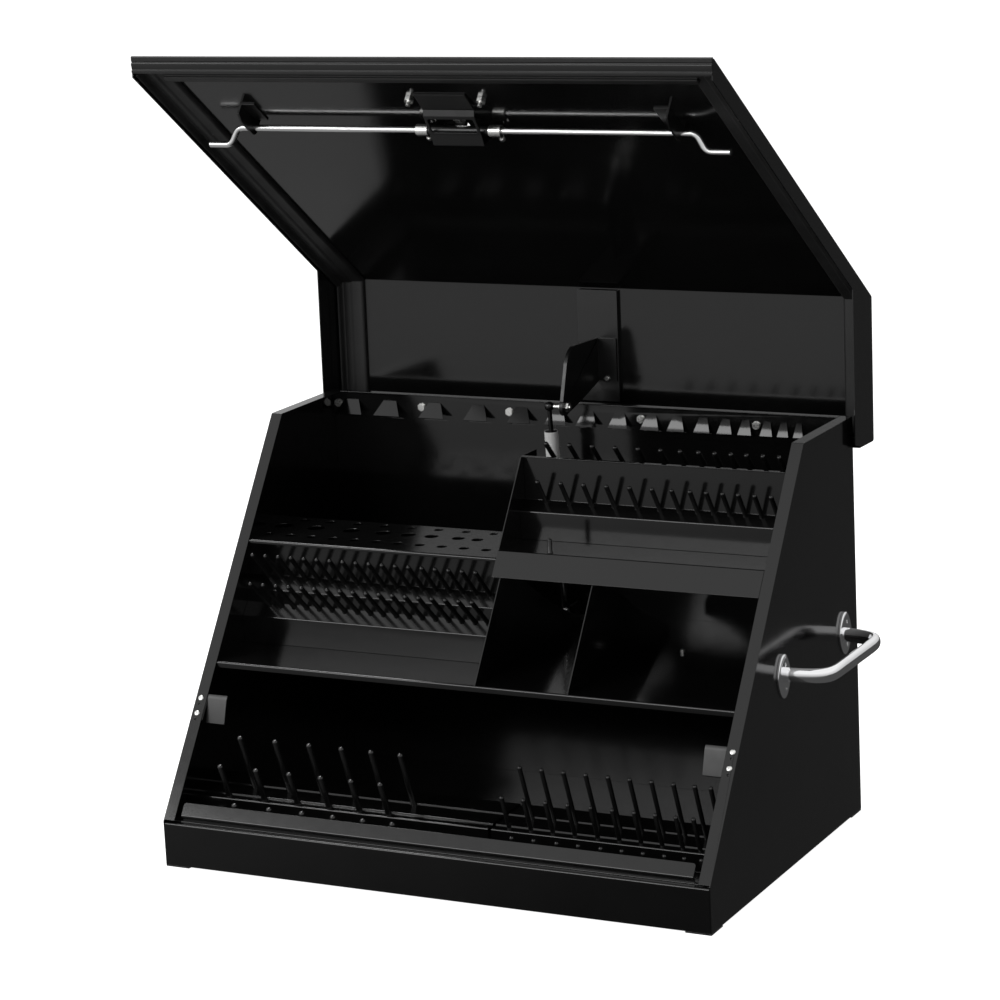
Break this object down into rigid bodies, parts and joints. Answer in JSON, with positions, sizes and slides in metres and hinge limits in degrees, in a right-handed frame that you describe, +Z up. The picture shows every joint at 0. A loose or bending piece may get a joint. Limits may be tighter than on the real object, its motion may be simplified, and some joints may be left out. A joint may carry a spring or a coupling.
{
  "type": "portable toolbox",
  "caption": "Slope-front portable steel toolbox with its lid open on a rear hinge and gas strut, with wrench racks, socket posts, trays, side handles and a rod latch.",
  "frame": {"origin": "middle of the case's footprint on the ground", "axes": "+X to the right seen from the front, +Y to the rear, +Z up"},
  "size_m": [0.888, 0.5532, 1.0297],
  "materials": {
    "case_paint": "satin",
    "lid_paint": "satin",
    "rack_paint": "satin",
    "pin_black": "gloss",
    "chrome": "polished",
    "zinc": "zinc plated",
    "steel_rod": "bright",
    "seal_rubber": "matt",
    "strut_paint": "gloss",
    "bare_band": "matt",
    "hardware_black": "satin"
  },
  "bodies": {
    "case": {"back_panel": "case_paint", "corner_feet": "case_paint", "divider_left": "rack_paint", "divider_right": "rack_paint", "floor_pan": "case_paint", "front_lip": "case_paint", "handle_bow_left": "chrome", "handle_bow_right": "chrome", "handle_feet_left": "chrome", "handle_feet_right": "chrome", "handle_screws": "chrome", "hinge_body_leaf": "hardware_black", "hinge_bolts": "zinc", "hinge_pin": "steel_rod", "hook_rail": "rack_paint", "keeper_left": "hardware_black", "keeper_right": "hardware_black", "keeper_rivets": "zinc", "mid_shelf": "rack_paint", "shelf_left": "rack_paint", "shelf_screws": "zinc", "side_panel_left": "case_paint", "side_panel_right": "case_paint", "socket_posts_left": "pin_black", "socket_posts_right": "pin_black", "socket_rack_left": "rack_paint", "socket_rack_right": "rack_paint", "strut_lower_bracket": "hardware_black", "tray_peg": "pin_black", "tray_right": "rack_paint", "wrench_pins_left": "pin_black", "wrench_pins_right": "pin_black", "wrench_rack_left": "rack_paint", "wrench_rack_right_back": "rack_paint", "wrench_rack_right_front": "rack_paint"},
    "lid": {"gooseneck_bracket": "hardware_black", "hat_channel": "hardware_black", "hinge_lid_leaf": "hardware_black", "key_lock": "zinc", "latch_bolts": "zinc", "latch_plate": "hardware_black", "latch_strap": "hardware_black", "lid_fasteners": "zinc", "lid_shell": "lid_paint", "rod_guide_left": "hardware_black", "rod_guide_right": "hardware_black", "seal_front": "seal_rubber", "seal_left": "seal_rubber", "seal_rear": "seal_rubber", "seal_right": "seal_rubber", "strut_ball_stud": "zinc"},
    "latch": {"latch_couplings": "hardware_black", "latch_lever": "hardware_black", "latch_rod_left": "steel_rod", "latch_rod_right": "steel_rod"},
    "key": {"key_plug": "zinc"},
    "strut_rod": {"strut_rod": "steel_rod"},
    "strut_tube": {"strut_band": "bare_band", "strut_cylinder": "strut_paint", "strut_end_fitting": "strut_paint"}
  },
  "joints": [
    {"name": "lid_hinge", "type": "hinge", "parent": "case", "child": "lid", "pos_m": [0, 0.2557, 0.4946], "axis": [1, 0, 0], "range_deg": [0, 91]},
    {"name": "latch_turn", "type": "hinge", "parent": "lid", "child": "latch", "pos_m": [0, -0.06513, 0.92909], "axis": [-1, 0, 0], "range_deg": [0, 45], "stiffness_Nm_per_rad": 0.6, "springref_deg": -28.65},
    {"name": "key_turn", "type": "hinge", "parent": "lid", "child": "key", "pos_m": [0, -0.07801, 0.95465], "axis": [0, 0.5913, 0.8064], "range_deg": [0, 90]},
    {"name": "strut_pivot", "type": "hinge", "parent": "case", "child": "strut_rod", "pos_m": [-0.02, 0.209, 0.249], "axis": [-1, 0, 0], "range_deg": [0, 7.1]},
    {"name": "strut_slide", "type": "slide", "parent": "strut_rod", "child": "strut_tube", "axis": [0, 0.0719, -0.9974], "range_m": [0, 0.1082]}
  ],
  "couplings": [
    {"joint": "strut_pivot", "follows": "lid_hinge", "ratio": 0.077071},
    {"joint": "strut_slide", "follows": "lid_hinge", "m_per_rad": 0.067546}
  ]
}
